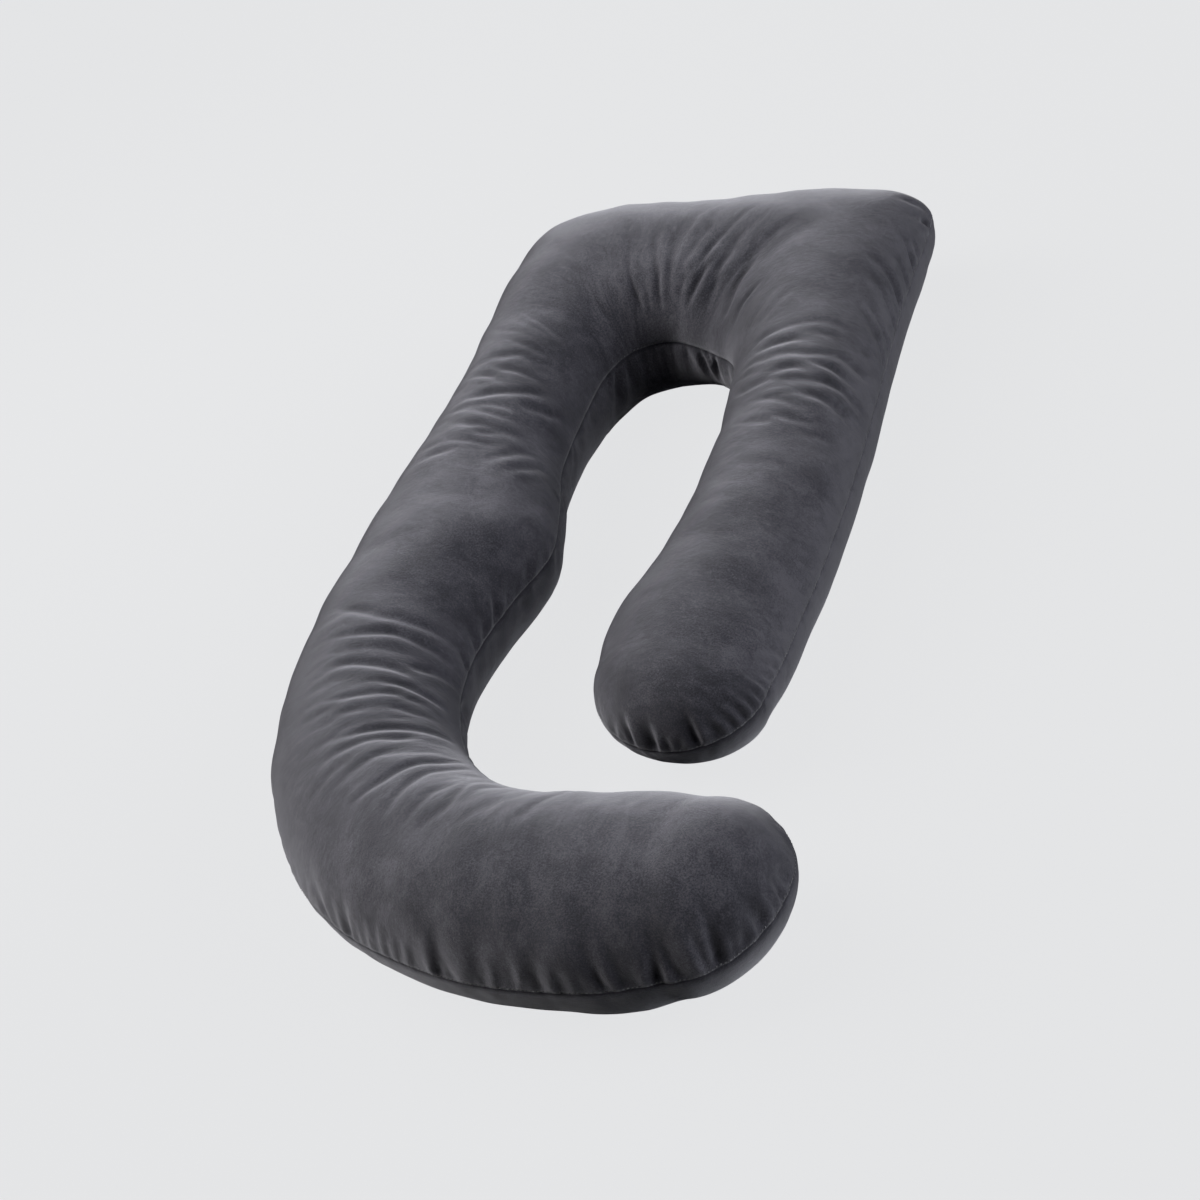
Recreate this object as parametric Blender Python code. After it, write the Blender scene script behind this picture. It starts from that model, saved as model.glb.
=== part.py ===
"""A long, bent body pillow: one stuffed cloth solid, lying on its back.

The cover is two equal panels sewn together round one edge. The stuffed tube starts at the
free arm's end, runs up the free arm, round the square head end, down the long arm with its
swell, and hooks back under the free arm.

Metres, +Z up. The origin lies on the surface under the middle of the pillow's box: +X is
the free arm's side, +Y the head end, and +Z comes out of the face.
"""

import math
from collections import namedtuple

import bmesh
import bpy
import numpy as np

# ---------------------------------------------------------------- driving sizes
SEAM_DRAW_IN = 0.006       # how far the thread pulls the sides in at the sewn edge
SETTLE_BLEND = 0.008       # roundness where the underside meets the surface
ARM_END_REACH = 0.093      # round end of the free arm, past its first section
FOOT_END_REACH = 0.107     # round end of the hook, past its last section
UNDERSIDE_FULLNESS = 0.93  # below 1 the settled underside bulges out at its sides

CREASED_STEP = 0.0125      # distance between cross-sections where the cloth is creased
PLAIN_STEP = 0.021         # and where it is smooth
END_RAYS = 26              # sections that turn round each end

# Places of the points round half a cross-section, in degrees from the sewn edge:
# -90 is the middle of the underside, 90 the crest of the face.
RING_DEGREES = (-90, -70, -50, -30, -12, 0, 12, 26, 41, 57, 73, 90)

# Cross-sections from the free arm's end to the hook's end. Inner and outer are the places
# of the sewn edge on the two sides, edge is its height above the surface, crown is the
# face's height over it, depth is how far the back panel would hang below it before it
# settles, and creased says whether the cloth is creased from here to the next section.
Section = namedtuple("Section", "inner_x inner_y outer_x outer_y edge crown depth creased")
SECTIONS = (
    # free arm
    Section(0.048, -0.250, 0.282, -0.272, 0.086, 0.085, 0.080, False),
    Section(0.042, -0.175, 0.287, -0.195, 0.086, 0.092, 0.096, False),
    Section(0.061, -0.100, 0.290, -0.110, 0.086, 0.095, 0.102, False),
    Section(0.080, -0.020, 0.293, -0.020, 0.087, 0.095, 0.104, False),
    Section(0.085, 0.120, 0.290, 0.130, 0.088, 0.095, 0.104, True),
    Section(0.075, 0.250, 0.281, 0.275, 0.089, 0.094, 0.104, True),
    # square corner beside the head
    Section(0.055, 0.345, 0.271, 0.415, 0.091, 0.094, 0.104, True),
    Section(0.035, 0.383, 0.267, 0.535, 0.093, 0.095, 0.106, True),
    Section(0.010, 0.400, 0.267, 0.630, 0.096, 0.096, 0.108, True),
    Section(-0.010, 0.412, 0.252, 0.695, 0.098, 0.094, 0.110, True),
    # head end
    Section(-0.035, 0.422, 0.155, 0.716, 0.102, 0.101, 0.113, True),
    Section(-0.060, 0.430, 0.040, 0.712, 0.104, 0.106, 0.116, True),
    Section(-0.085, 0.431, -0.085, 0.712, 0.105, 0.111, 0.118, True),
    Section(-0.108, 0.424, -0.215, 0.717, 0.105, 0.117, 0.120, False),
    Section(-0.128, 0.412, -0.325, 0.678, 0.104, 0.119, 0.120, False),
    Section(-0.145, 0.391, -0.368, 0.577, 0.101, 0.113, 0.118, False),
    # long arm, with its swell
    Section(-0.158, 0.353, -0.368, 0.457, 0.096, 0.109, 0.114, True),
    Section(-0.162, 0.277, -0.366, 0.303, 0.091, 0.108, 0.112, True),
    Section(-0.155, 0.173, -0.374, 0.178, 0.089, 0.109, 0.112, False),
    Section(-0.127, 0.085, -0.389, 0.083, 0.089, 0.109, 0.112, False),
    Section(-0.109, 0.000, -0.399, 0.000, 0.089, 0.109, 0.112, False),
    Section(-0.135, -0.095, -0.397, -0.100, 0.089, 0.108, 0.112, False),
    Section(-0.149, -0.179, -0.391, -0.205, 0.089, 0.107, 0.112, True),
    # bend into the hook
    Section(-0.141, -0.256, -0.377, -0.312, 0.089, 0.107, 0.112, True),
    Section(-0.120, -0.313, -0.343, -0.416, 0.089, 0.108, 0.112, True),
    Section(-0.089, -0.363, -0.285, -0.518, 0.089, 0.108, 0.112, True),
    Section(-0.046, -0.407, -0.210, -0.602, 0.089, 0.110, 0.112, True),
    Section(0.010, -0.441, -0.112, -0.663, 0.089, 0.114, 0.112, True),
    # hook
    Section(0.084, -0.463, 0.023, -0.709, 0.089, 0.118, 0.112, False),
    Section(0.172, -0.467, 0.171, -0.722, 0.089, 0.114, 0.108, False),
    Section(0.238, -0.463, 0.235, -0.717, 0.089, 0.109, 0.103, True),
    Section(0.302, -0.465, 0.287, -0.705, 0.089, 0.101, 0.088, True),
)

# Fans of creases in the face. The creases of a fan point away from its centre, from the
# first angle to the last, and lie between two distances from it. A far centre makes them
# almost parallel, straight across an arm. Depth is that of the deepest crease.
CreaseFan = namedtuple(
    "CreaseFan", "centre_x centre_y first_degrees last_degrees count near far depth width")
CREASE_FANS = (
    # round the inner side of the head end
    CreaseFan(-0.050, 0.305, 117.0, 22.0, 11, 0.135, 0.255, 0.0075, 0.0085),
    # across the free arm, below the corner
    CreaseFan(-0.250, 0.300, 3.0, -19.0, 7, 0.370, 0.545, 0.0065, 0.0085),
    # into the sewn edge at the square corner
    CreaseFan(0.100, 0.640, -12.0, -55.0, 6, 0.125, 0.230, 0.0060, 0.0080),
    # across the long arm, above the swell
    CreaseFan(0.160, 0.345, 181.0, 205.0, 8, 0.315, 0.475, 0.0070, 0.0090),
    # across the long arm, below the swell
    CreaseFan(0.360, -0.250, 176.5, 186.5, 5, 0.490, 0.660, 0.0080, 0.0090),
    # round the inner side of the bend
    CreaseFan(0.035, -0.315, 192.0, 270.0, 9, 0.140, 0.300, 0.0085, 0.0095),
)

# Stretches where the sewn edge is gathered into short puckers: the middle of the stretch,
# how far it reaches from there, and the depth of a pucker.
Gather = namedtuple("Gather", "middle_x middle_y reach depth")
GATHERS = (
    Gather(0.165, -0.330, 0.210, 0.0035),
    Gather(0.365, -0.600, 0.190, 0.0040),
    Gather(-0.100, -0.660, 0.330, 0.0030),
    Gather(0.250, 0.700, 0.130, 0.0045),
)
PUCKER_PITCH = 0.048       # from one pucker to the next along the sewn edge
PUCKER_LENGTH_DEGREES = 50.0   # how far up the side a pucker runs

# Stretches where the back panel bellies out below the sewn edge: the middle of the
# stretch, how far it reaches from there, and how far the cloth bellies out.
Belly = namedtuple("Belly", "middle_x middle_y reach swell")
BELLIES = (
    Belly(-0.045, 0.430, 0.190, 0.028),
)

VELVET_COLOUR = (0.062, 0.062, 0.070, 1.0)
VELVET_ROUGHNESS = 0.92
WELD_DISTANCE = 0.00005


# ---------------------------------------------------------------- planform
def smooth_sections(sections):
    """Carry a Catmull-Rom curve through the table's rows, at the stretches' own steps."""
    rows = np.array([section[:7] for section in sections])
    padded = np.vstack([2 * rows[0] - rows[1], rows, 2 * rows[-1] - rows[-2]])
    middles = (rows[:, 0:2] + rows[:, 2:4]) / 2
    stretches = []
    for index, section in enumerate(sections[:-1]):
        before, here, after, beyond = padded[index:index + 4]
        step = CREASED_STEP if section.creased else PLAIN_STEP
        length = np.linalg.norm(middles[index + 1] - middles[index])
        count = max(2, round(length / step))
        t = np.linspace(0.0, 1.0, count, endpoint=False)[:, None]
        stretches.append(0.5 * (
            2 * here
            + (after - before) * t
            + (2 * before - 5 * here + 4 * after - beyond) * t ** 2
            + (3 * here - before - 3 * after + beyond) * t ** 3))
    stretches.append(rows[-1:])
    return np.vstack(stretches)


def round_end(middle, from_point, away, reach):
    """Points of the sewn edge round an end: half an ellipse, without its two ends."""
    angle = np.linspace(0.0, math.pi, END_RAYS + 1)[1:-1, None]
    return middle + (from_point - middle) * np.cos(angle) + away * reach * np.sin(angle)


def sewn_edge(sections):
    """Walk once round the sewn edge.

    Returns, for each place on it, the edge's point, the tube's middle line beside it, and
    three heights: the edge's, the crown and the depth. The order is: outer side, hook's
    end, inner side, arm's end.
    """
    rows = smooth_sections(sections)
    inner, outer, heights = rows[:, 0:2], rows[:, 2:4], rows[:, 4:7]
    middle = (inner + outer) / 2
    away_arm = (middle[0] - middle[2]) / np.linalg.norm(middle[0] - middle[2])
    away_foot = (middle[-1] - middle[-3]) / np.linalg.norm(middle[-1] - middle[-3])
    foot_end = round_end(middle[-1], outer[-1], away_foot, FOOT_END_REACH)
    arm_end = round_end(middle[0], inner[0], away_arm, ARM_END_REACH)
    edge = np.vstack([outer, foot_end, inner[::-1], arm_end])
    spine = np.vstack([
        middle,
        np.repeat(middle[-1:], len(foot_end), axis=0),
        middle[::-1],
        np.repeat(middle[:1], len(arm_end), axis=0)])
    edge_heights = np.vstack([
        heights,
        np.repeat(heights[-1:], len(foot_end), axis=0),
        heights[::-1],
        np.repeat(heights[:1], len(arm_end), axis=0)])
    return edge, spine, edge_heights


# ---------------------------------------------------------------- stuffed form
def soft_floor(height):
    """Keep heights at or above zero, with a rounded change over SETTLE_BLEND."""
    overlap = np.maximum(SETTLE_BLEND - np.abs(height), 0.0)
    return np.maximum(height, 0.0) + overlap ** 2 / (4 * SETTLE_BLEND)


def belly_swell(edge):
    """How far the back panel bellies out beside each place of the sewn edge."""
    swell = np.zeros(len(edge))
    for belly in BELLIES:
        distance = np.linalg.norm(edge - (belly.middle_x, belly.middle_y), axis=1)
        swell += belly.swell * np.clip(1.0 - (distance / belly.reach) ** 2, 0.0, 1.0)
    return swell


def stuffed_points(edge, spine, heights):
    """Half cross-sections from the middle line to the sewn edge: quarter ellipses above
    and below it, the lower one settled flat on the surface, the edge drawn in."""
    angle = np.radians(RING_DEGREES)
    across = np.cos(angle) ** np.where(angle < 0, UNDERSIDE_FULLNESS, 1.0)
    to_edge = edge - spine
    half_width = np.linalg.norm(to_edge, axis=1)
    drawn = (SEAM_DRAW_IN / half_width)[:, None] * (np.array(RING_DEGREES) == 0)
    bellied = (belly_swell(edge) / half_width)[:, None] * np.maximum(-np.sin(2 * angle), 0.0)
    reach = across * (1.0 - drawn) + bellied
    flat = spine[:, None, :] + to_edge[:, None, :] * reach[..., None]
    edge_height, crown, depth = np.hsplit(heights, 3)
    face = edge_height + crown * np.sin(angle)
    underside = soft_floor(edge_height + depth * np.sin(angle))
    height = np.where(angle < 0, underside, face)
    return np.concatenate([flat, height[..., None]], axis=2)


def outward(points):
    """Unit normals of the grid of points, straight up or down along the middle line."""
    along = np.roll(points, -1, axis=0) - np.roll(points, 1, axis=0)
    round_section = np.gradient(points, axis=1)
    normal = np.cross(along, round_section)
    normal[:, 0] = (0.0, 0.0, -1.0)
    normal[:, -1] = (0.0, 0.0, 1.0)
    return normal / np.linalg.norm(normal, axis=2, keepdims=True)


def crease_depth(points):
    """Depth of the face's creases at each point.

    Across a crease the trough is a bell curve; along it the depth swells from nothing at
    the near end to its full size and back, and each crease has its own share of both.
    """
    total = np.zeros(points.shape[:2])
    for fan in CREASE_FANS:
        offset = points[..., :2] - (fan.centre_x, fan.centre_y)
        angles = np.radians(np.linspace(fan.first_degrees, fan.last_degrees, fan.count))
        for number, angle in enumerate(angles):
            share = 0.72 + 0.28 * math.cos(2.4 * number)
            reach = fan.near + (fan.far - fan.near) * (0.80 + 0.20 * math.cos(3.7 * number))
            along = offset[..., 0] * math.cos(angle) + offset[..., 1] * math.sin(angle)
            aside = offset[..., 1] * math.cos(angle) - offset[..., 0] * math.sin(angle)
            place = np.clip((along - fan.near) / (reach - fan.near), 0.0, 1.0)
            swell = np.sin(math.pi * place ** 0.8) ** 0.7
            total += fan.depth * share * swell * np.exp(-(aside / fan.width) ** 2)
    return total


def pucker_height(points, edge):
    """Ridges between the puckers of the gathered edge, on the face's side of it."""
    steps = np.linalg.norm(np.roll(edge, -1, axis=0) - edge, axis=1)
    travelled = np.concatenate([[0.0], np.cumsum(steps)[:-1]])
    wave = np.cos(2 * math.pi * travelled / PUCKER_PITCH)
    strength = np.zeros(len(edge))
    for gather in GATHERS:
        distance = np.linalg.norm(edge - (gather.middle_x, gather.middle_y), axis=1)
        strength += gather.depth * np.clip(1.0 - (distance / gather.reach) ** 2, 0.0, 1.0)
    degrees = np.array(RING_DEGREES, dtype=float)
    rise = np.clip(degrees / PUCKER_LENGTH_DEGREES, 0.0, 1.0)
    return (strength * wave)[:, None] * np.sin(math.pi * rise)


def cover_points():
    """The stuffed form, its creases and puckers pressed in along the normals, with the
    origin under the middle of its box."""
    edge, spine, heights = sewn_edge(SECTIONS)
    points = stuffed_points(edge, spine, heights)
    on_face = np.array(RING_DEGREES) > 0
    relief = (pucker_height(points, edge) - crease_depth(points)) * on_face
    points = points + outward(points) * relief[..., None]
    flat = points[..., :2]
    flat -= (flat.min(axis=(0, 1)) + flat.max(axis=(0, 1))) / 2
    return points


# ---------------------------------------------------------------- the object
def velvet_material():
    """Dark grey short-pile cloth."""
    material = bpy.data.materials.new("dark_grey_velvet")
    material.use_nodes = True
    shader = material.node_tree.nodes["Principled BSDF"]
    shader.inputs["Base Color"].default_value = VELVET_COLOUR
    shader.inputs["Roughness"].default_value = VELVET_ROUGHNESS
    shader.inputs["Metallic"].default_value = 0.0
    return material


def filled_cover():
    """Close the grid of points into one solid and put it in the scene."""
    points = cover_points()
    places, ring = points.shape[:2]
    number = np.arange(places * ring).reshape(places, ring)
    following = np.roll(number, -1, axis=0)
    quads = np.stack(
        [number[:, :-1], following[:, :-1], following[:, 1:], number[:, 1:]], axis=2)

    mesh = bpy.data.meshes.new("filled_cover")
    mesh.from_pydata(points.reshape(-1, 3).tolist(), [], quads.reshape(-1, 4).tolist())
    form = bmesh.new()
    form.from_mesh(mesh)
    bmesh.ops.remove_doubles(form, verts=form.verts, dist=WELD_DISTANCE)
    bmesh.ops.triangulate(form, faces=form.faces)
    bmesh.ops.recalc_face_normals(form, faces=form.faces)
    form.to_mesh(mesh)
    form.free()
    mesh.shade_smooth()
    mesh.materials.append(velvet_material())

    cover = bpy.data.objects.new("filled_cover", mesh)
    bpy.context.scene.collection.objects.link(cover)
    return cover


for leftover in list(bpy.data.objects):
    bpy.data.objects.remove(leftover, do_unlink=True)
filled_cover()
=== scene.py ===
# %% [markdown]
# # A body pillow in dark grey velvet
# The real thing is a bag of two equal velvet panels, sewn together round one edge and
# stuffed tight with loose fibre: a bent tube with a free arm, a square head end, a long arm
# with a swell, and a hooked foot end. This lesson loads the plain solid that holds its size,
# and dresses it with the folds, puckers, seam, stitches and pile that the eye looks for.

# %% Load the plain solid
import math
from collections import namedtuple

import bpy
import numpy as np
from mathutils import Matrix, Vector


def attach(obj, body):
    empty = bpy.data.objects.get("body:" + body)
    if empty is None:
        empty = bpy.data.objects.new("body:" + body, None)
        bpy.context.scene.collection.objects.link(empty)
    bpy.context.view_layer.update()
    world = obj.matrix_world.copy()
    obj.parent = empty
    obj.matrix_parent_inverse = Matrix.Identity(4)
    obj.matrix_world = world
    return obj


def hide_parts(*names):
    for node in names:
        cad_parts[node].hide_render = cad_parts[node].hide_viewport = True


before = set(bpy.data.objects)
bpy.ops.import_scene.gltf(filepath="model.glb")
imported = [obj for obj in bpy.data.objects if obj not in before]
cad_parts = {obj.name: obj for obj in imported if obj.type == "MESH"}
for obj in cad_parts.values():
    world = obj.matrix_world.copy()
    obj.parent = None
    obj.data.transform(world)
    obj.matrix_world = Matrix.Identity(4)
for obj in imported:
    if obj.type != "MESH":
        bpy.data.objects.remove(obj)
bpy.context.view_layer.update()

# %% [markdown]
# ## The camera
# The pillow lies on its back, and the camera looks at its face from the photograph's angle,
# a little rolled, through a long lens. It could be set by hand in the viewport; a place, an
# aim and a roll say the same in three short lines.

# %% The camera
CAMERA_PLACE = Vector((1.5160, -2.2480, 2.0190))
CAMERA_AIM = Vector((-0.0068, -0.0869, 0.0890))
CAMERA_ROLL = math.radians(-25.535)
LENS_MM = 76.98
SENSOR_MM = 36.0


def in_scene(name, data):
    """A new object of its data, at the origin of the scene."""
    thing = bpy.data.objects.new(name, data)
    bpy.context.scene.collection.objects.link(thing)
    return thing


camera = in_scene("camera", bpy.data.cameras.new("camera"))
camera.data.lens = LENS_MM
camera.data.sensor_width = SENSOR_MM
look = (CAMERA_AIM - CAMERA_PLACE).normalized()
level = look.to_track_quat("-Z", "Y").to_matrix() @ Matrix.Rotation(CAMERA_ROLL, 3, "Z")
camera.matrix_world = Matrix.Translation(CAMERA_PLACE) @ level.to_4x4()
bpy.context.scene.camera = camera
print("camera looks along", [round(part, 3) for part in look])

# %% [markdown]
# ## The stuffed form
# A stuffed tube is easiest to think of as a row of cross-sections. Each row of the table
# gives where the sewn edge runs on the inner and the outer side, how high it lies, how far
# the face crowns over it and how far the back panel would hang below it. A sculpted ball
# would also do, but a table keeps the sizes in plain sight. All the tables of this lesson are
# in millimetres, in one plan.

# %% The table of cross-sections
MM = 1000  # millimetres in a metre
Section = namedtuple("Section", "inner_x inner_y outer_x outer_y edge crown depth step")
SECTIONS = [Section(*row) for row in (
    # free arm
    (48, -250, 282, -272, 86, 85, 80, 2.6),
    (42, -175, 287, -195, 86, 92, 96, 4.6),
    (64, -100, 290, -110, 86, 95, 102, 4.6),
    (80, -20, 293, -20, 87, 95, 104, 4.6),
    (85, 120, 290, 130, 88, 95, 104, 2.6),
    (75, 250, 281, 275, 89, 94, 104, 2.6),
    # square corner beside the head
    (55, 345, 271, 415, 91, 94, 104, 2.6),
    (35, 383, 267, 535, 93, 95, 106, 1.5),
    (10, 400, 267, 630, 96, 96, 108, 1.5),
    (-10, 412, 252, 695, 98, 94, 110, 2.6),
    # head end
    (-35, 422, 155, 716, 102, 101, 113, 2.6),
    (-60, 430, 40, 712, 104, 106, 116, 2.6),
    (-85, 431, -85, 712, 105, 111, 118, 2.6),
    (-108, 424, -215, 717, 105, 117, 120, 4.6),
    (-128, 412, -325, 678, 104, 119, 120, 4.6),
    (-145, 391, -368, 577, 101, 113, 118, 4.6),
    # long arm, with its swell
    (-158, 353, -368, 457, 96, 109, 114, 2.6),
    (-162, 277, -366, 303, 91, 108, 112, 2.6),
    (-155, 173, -374, 178, 89, 109, 112, 2.6),
    (-127, 85, -389, 83, 89, 109, 112, 4.6),
    (-109, 0, -399, 0, 89, 109, 112, 4.6),
    (-135, -95, -397, -100, 89, 108, 112, 4.6),
    (-149, -179, -391, -205, 89, 107, 112, 2.6),
    # bend into the hook
    (-141, -256, -377, -312, 89, 107, 112, 2.6),
    (-120, -313, -343, -416, 89, 108, 112, 2.6),
    (-89, -363, -285, -518, 89, 108, 112, 2.6),
    (-46, -407, -210, -602, 89, 110, 112, 2.6),
    (10, -441, -112, -663, 89, 114, 112, 2.6),
    # hook
    (84, -463, 23, -709, 89, 118, 112, 2.6),
    (172, -467, 171, -722, 89, 114, 108, 2.6),
    (238, -459, 235, -717, 89, 109, 103, 2.6),
    (302, -465, 287, -705, 89, 103, 91, 2.6),
)]
TABLE_MIDDLE = np.array([0.0016, -0.0021])  # where the box's middle lies in the tables' plan
print(len(SECTIONS), "sections")

# %% [markdown]
# The curve through the rows is a Catmull-Rom spline, which passes through every row. The
# last column is the step between its sections: small where the cloth is creased, so that a
# crease has enough points, smallest at the tuck of the square corner.

# %% Sections between the sections
def smooth_sections(sections):
    """A Catmull-Rom curve through the table's rows: between two rows, a cubic whose slope at
    each row is half the way from the row before it to the row after it. The heights run
    level at the first and the last row, so that the rounded ends join on smoothly."""
    rows = np.array([section[:7] for section in sections]) / MM
    before_first = 2 * rows[0] - rows[1]
    after_last = 2 * rows[-1] - rows[-2]
    before_first[4:] = rows[1, 4:]
    after_last[4:] = rows[-2, 4:]
    padded = np.vstack([before_first, rows, after_last])
    middles = (rows[:, 0:2] + rows[:, 2:4]) / 2
    stretches = []
    for index, section in enumerate(sections[:-1]):
        before, here, after, beyond = padded[index:index + 4]
        length = np.linalg.norm(middles[index + 1] - middles[index])
        count = max(2, round(MM * length / section.step))
        t = np.linspace(0.0, 1.0, count, endpoint=False)[:, None]
        stretches.append(0.5 * (
            2 * here
            + (after - before) * t
            + (2 * before - 5 * here + 4 * after - beyond) * t ** 2
            + (3 * here - before - 3 * after + beyond) * t ** 3))
    stretches.append(rows[-1:])
    return np.vstack(stretches)


rows = smooth_sections(SECTIONS)
rows[:, 0:2] -= TABLE_MIDDLE
rows[:, 2:4] -= TABLE_MIDDLE
print(len(rows), "sections after smoothing")

# %% [markdown]
# The sewn edge runs once round the pillow: down the outer side, round the hook's end, back
# along the inner side and round the free arm's end. Every place on it looks across to the
# tube's middle line, so half a cross-section at each makes the whole cover.

# %% Once round the sewn edge
ARM_END_REACH = 0.090
FOOT_END_REACH = 0.105
ARM_END_RAYS = 112
FOOT_END_RAYS = 124
AWAY_STEPS = 15  # sections from an end that give the direction in which it points


def round_end(middle, from_point, away, reach, rays):
    """Half an ellipse about the middle, from one side of the tube to the other."""
    angle = np.linspace(0.0, math.pi, rays + 1)[1:-1, None]
    return middle + (from_point - middle) * np.cos(angle) + away * reach * np.sin(angle)


def unit_rows(vectors):
    """Every row at length one."""
    return vectors / np.linalg.norm(vectors, axis=-1, keepdims=True)


inner, outer, section_heights = rows[:, 0:2], rows[:, 2:4], rows[:, 4:7]
middle = (inner + outer) / 2
last = len(middle) - 1
away_arm = unit_rows(middle[0] - middle[AWAY_STEPS])
away_foot = unit_rows(middle[-1] - middle[-1 - AWAY_STEPS])
foot_end = round_end(middle[-1], outer[-1], away_foot, FOOT_END_REACH, FOOT_END_RAYS)
arm_end = round_end(middle[0], inner[0], away_arm, ARM_END_REACH, ARM_END_RAYS)
edge = np.vstack([outer, foot_end, inner[::-1], arm_end])
station = np.concatenate([
    np.arange(last + 1), np.full(len(foot_end), last),
    np.arange(last, -1, -1), np.zeros(len(arm_end), dtype=int)])
spine = middle[station]
edge_steps = np.linalg.norm(np.roll(edge, -1, axis=0) - edge, axis=1)
travelled = np.concatenate([[0.0], np.cumsum(edge_steps)[:-1]])
seam_length = edge_steps.sum()
print(len(edge), "places round a sewn edge of", round(seam_length, 3), "m")

# %% [markdown]
# Half a cross-section is a quarter ellipse above the sewn edge and one below it. The lower
# one would hang under the table, so a soft floor settles it flat. Two short tables bend this
# rule where the real one does. Under the free arm's end and the hook the seam rides low,
# because the face puffs out more than the back. Round the inner side of the head end the
# back panel bellies out, because there the bend packs the filling; at both ends it draws in.

# %% Half cross-sections
SETTLE_BLEND = 0.008
UNDERSIDE_FULLNESS = 0.93
FACE_RINGS = 30
BACK_RINGS = 16
FACE_CROWDING = 1.45  # above 1 the rings stand closer near the sewn edge
BACK_CROWDING = 1.90
Spot = namedtuple("Spot", "x y reach amount")
SEAM_DROPS = (Spot(140, -350, 160, 12), Spot(200, -720, 300, 6))
BELLY_SOFTENING = 60  # passes that round off where a belly begins
BELLIES = [Spot(*row) for row in (
    (-45, 430, 190, 32),
    (380, -640, 140, -7),
    (80, -715, 340, -3),
    (170, -350, 150, -6),
    (280, -240, 90, 3),
    (265, -710, 110, 3),
    (-136, 404, 55, 7),
    (-161, 326, 60, -3),
)]

back_rings = -90 * np.linspace(1, 0, BACK_RINGS + 1)[:-1] ** BACK_CROWDING
face_rings = 90 * np.linspace(0, 1, FACE_RINGS + 1) ** FACE_CROWDING
ring = np.radians(np.concatenate([back_rings, face_rings]))
seam_ring = BACK_RINGS
on_face = np.arange(len(ring)) > seam_ring


def in_plan(x, y):
    """A point of the tables, in metres from the box's middle."""
    return np.array([x, y]) / MM - TABLE_MIDDLE


def nearness(plan, spot):
    """1 where the spot is, falling to 0 at its reach with the square of the distance."""
    distance = np.linalg.norm(plan - in_plan(spot.x, spot.y), axis=-1)
    return np.clip(1.0 - (distance / (spot.reach / MM)) ** 2, 0.0, 1.0)


def softened(values, passes):
    """Each value becomes a quarter of the one before it round the edge, half of itself and a
    quarter of the one after it, several times over: thick cloth has no sharp fold."""
    for _ in range(passes):
        values = (np.roll(values, 1, axis=0) + 2 * values + np.roll(values, -1, axis=0)) / 4
    return values


def soft_floor(height):
    """Keep heights at or above zero, with a rounded change over SETTLE_BLEND."""
    overlap = np.maximum(SETTLE_BLEND - np.abs(height), 0.0)
    return np.maximum(height, 0.0) + overlap ** 2 / (4 * SETTLE_BLEND)


def stuffed_points():
    """Across: edge distance times the cosine of the ring's angle. Up: edge height plus crown
    or depth times its sine, the lower half settled on the floor."""
    across = np.cos(ring) ** np.where(ring < 0, UNDERSIDE_FULLNESS, 1.0)
    to_edge = edge - spine
    half_width = np.linalg.norm(to_edge, axis=1)
    swell = sum(belly.amount / MM * nearness(edge, belly) for belly in BELLIES)
    swell = softened(swell, BELLY_SOFTENING)
    drop = sum(low.amount / MM * nearness(edge, low) ** 2 for low in SEAM_DROPS)
    bellied = (swell / half_width)[:, None] * np.maximum(-np.sin(2 * ring), 0.0)
    flat = spine[:, None, :] + to_edge[:, None, :] * (across + bellied)[..., None]
    edge_height, crown, depth = (section_heights[station] + np.outer(drop, (-1, 1, -1))).T
    face = edge_height[:, None] + crown[:, None] * np.sin(ring)
    underside = soft_floor(edge_height[:, None] + depth[:, None] * np.sin(ring))
    return np.concatenate([flat, np.where(ring < 0, underside, face)[..., None]], axis=2)


def outward(points):
    """Unit normals of the grid, from the two directions in which it runs."""
    along = np.roll(points, -1, axis=0) - np.roll(points, 1, axis=0)
    normal = np.cross(along, np.gradient(points, axis=1))
    normal[:, 0] = (0.0, 0.0, -1.0)
    normal[:, -1] = (0.0, 0.0, 1.0)
    return unit_rows(normal)


form = stuffed_points()
normals = outward(form)
ring_steps = np.linalg.norm(np.diff(form, axis=1), axis=2)
from_bottom = np.concatenate([np.zeros((len(edge), 1)), np.cumsum(ring_steps, axis=1)], axis=1)
from_seam = np.abs(from_bottom - from_bottom[:, seam_ring:seam_ring + 1])
print("grid", form.shape[:2], "height", round(float(form[..., 2].max()), 4), "m")

# %% [markdown]
# ## Folds
# Velvet can't shrink, so where the tube bends, the spare cloth on the inner side folds up
# into creases that run across it. Each row of the table is one crease: its two ends and its
# middle in plan, how deep it is and how wide. A crease is a trough with a low bank on either
# side, one wall steeper than the other, because the cloth leans over it. Sculpting by hand
# gives the same, but a table can be corrected one fold at a time.

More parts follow.
